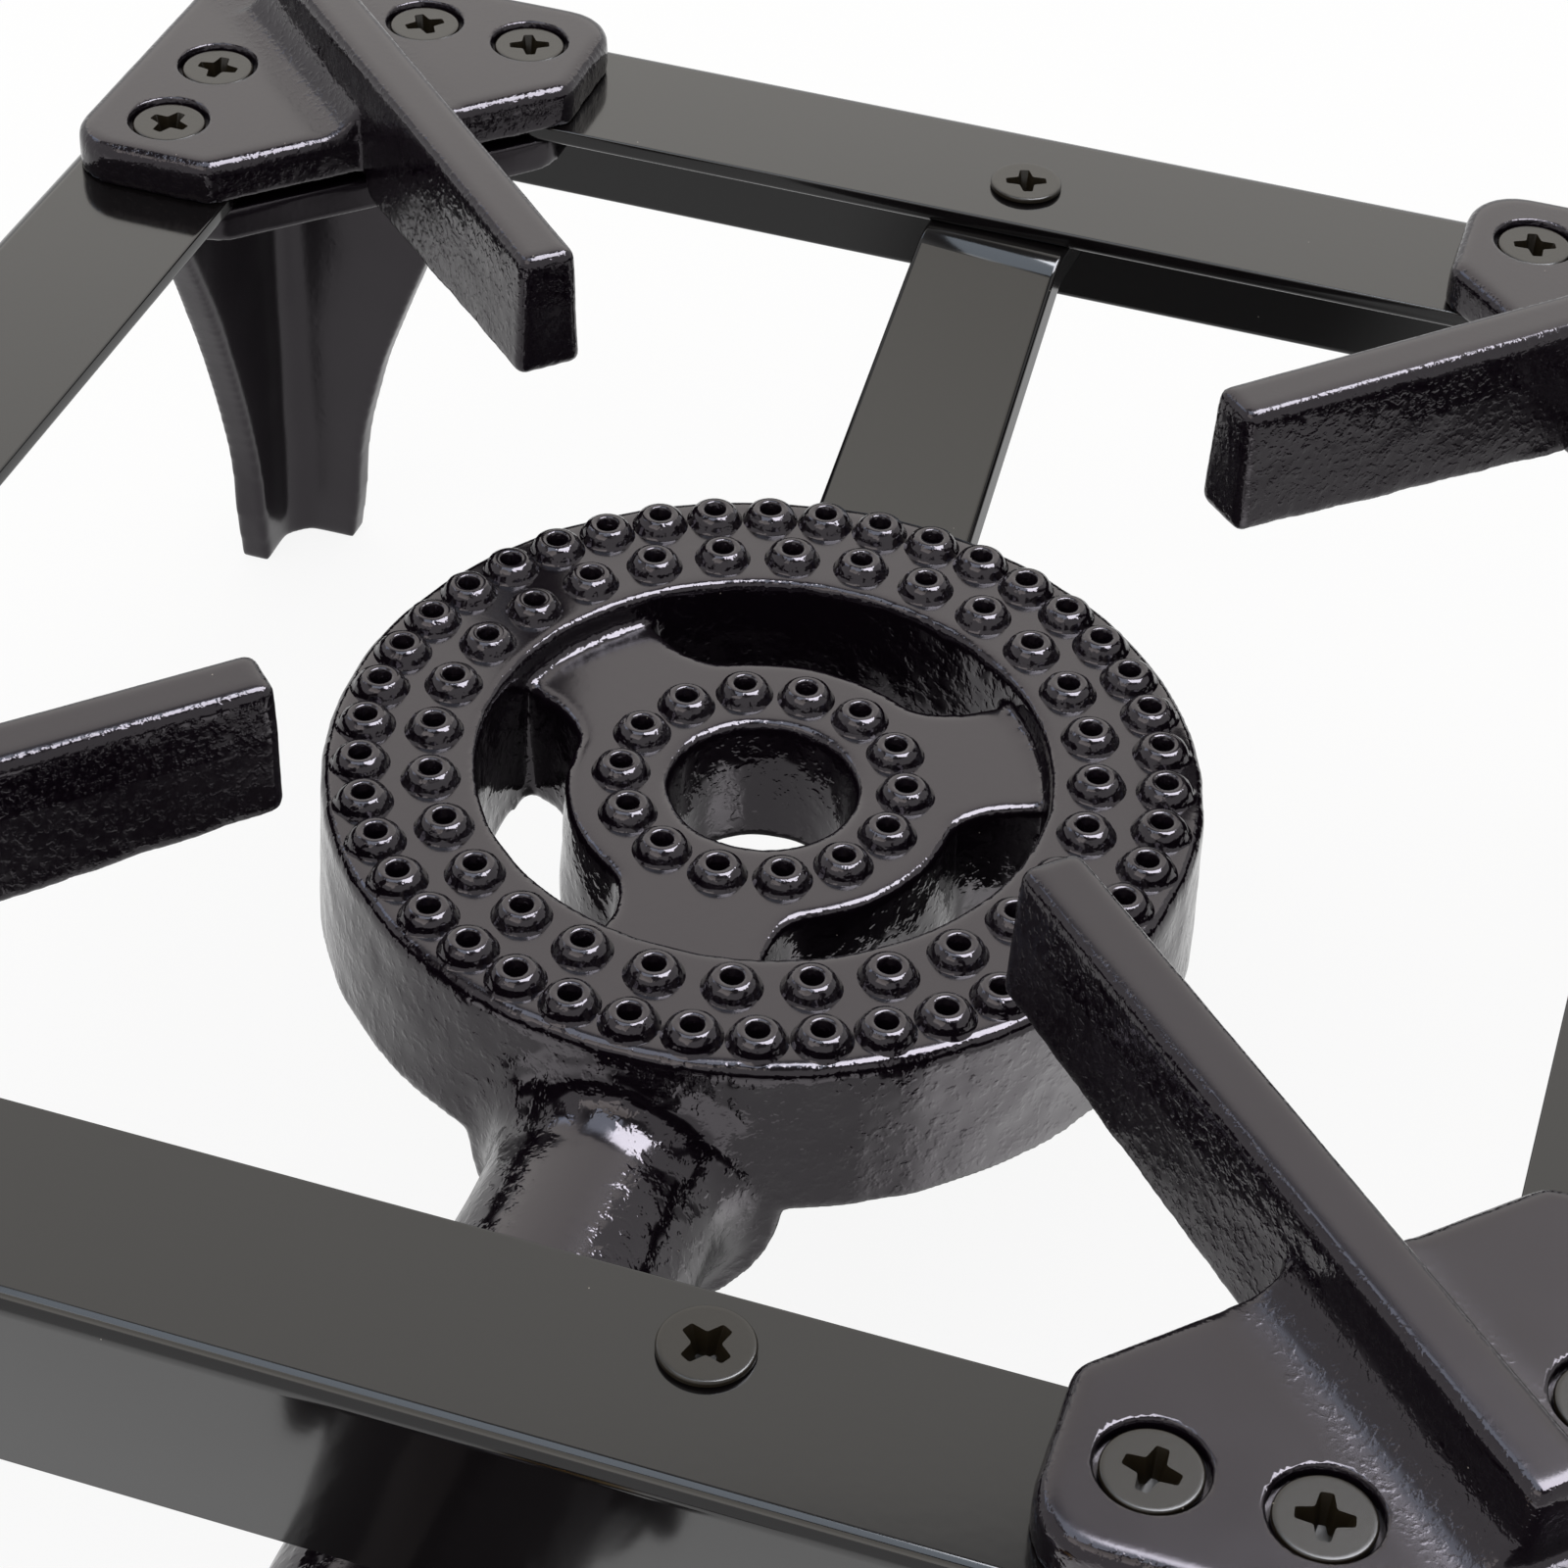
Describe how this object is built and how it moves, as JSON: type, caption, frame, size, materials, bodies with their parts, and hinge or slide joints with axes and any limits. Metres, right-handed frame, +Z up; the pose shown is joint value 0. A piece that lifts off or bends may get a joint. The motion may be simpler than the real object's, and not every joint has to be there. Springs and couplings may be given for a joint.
{
  "type": "single burner gas cooker",
  "caption": "Low square gas boiling ring: angle iron frame on cast legs, cast pan supports, a cast ring burner and a gas tap.",
  "frame": {"origin": "on the floor, under the middle of the whole cooker's box", "axes": "+Z up; +Y from the gas tap and the front rail towards the back rail; +X to the right seen from the front"},
  "size_m": [0.4, 0.586, 0.18],
  "materials": {
    "frame_paint": "satin dark grey stove enamel",
    "black_enamel": "glossy black enamel over sand-cast iron",
    "blackened_steel": "blackened steel",
    "brass": "machined brass",
    "plated_steel": "zinc plated steel",
    "shutter_metal": "cast and turned aluminium",
    "handle_plastic": "moulded heat-resistant plastic"
  },
  "bodies": {
    "root": {"rail_front": "frame_paint", "rail_right": "frame_paint", "rail_back": "frame_paint", "rail_left": "frame_paint", "pan_support_front_left": "black_enamel", "pan_support_front_right": "black_enamel", "pan_support_back_right": "black_enamel", "pan_support_back_left": "black_enamel", "leg_front_left": "black_enamel", "leg_front_right": "black_enamel", "leg_back_right": "black_enamel", "leg_back_left": "black_enamel", "corner_screws": "blackened_steel", "corner_nuts": "blackened_steel", "burner_ring": "black_enamel", "ring_inner_wall": "black_enamel", "burner_hub": "black_enamel", "hub_inner_wall": "black_enamel", "mixing_tube": "black_enamel", "injector_bridge": "black_enamel", "burner_strap_back": "frame_paint", "burner_strap_front": "frame_paint", "strap_screws": "blackened_steel", "strap_nuts": "blackened_steel", "burner_bolts": "blackened_steel", "injector_holder": "brass", "holder_lock_nut": "brass", "injector": "brass", "tap_body": "brass", "hose_nozzle": "brass"},
    "air_shutter": {"air_shutter": "shutter_metal"},
    "tap": {"tap_plug": "brass", "plug_washer": "plated_steel", "plug_spring": "plated_steel", "plug_nut": "plated_steel", "tap_handle": "handle_plastic", "handle_screw": "plated_steel"}
  },
  "joints": [
    {"name": "air_shutter_slide", "type": "slide", "parent": "root", "child": "air_shutter", "axis": [0, -1, 0], "range_m": [0, 0.012]},
    {"name": "tap_turn", "type": "hinge", "parent": "root", "child": "tap", "pos_m": [0, -0.239, 0.1055], "axis": [0, 0, -1], "range_deg": [0, 90]}
  ]
}
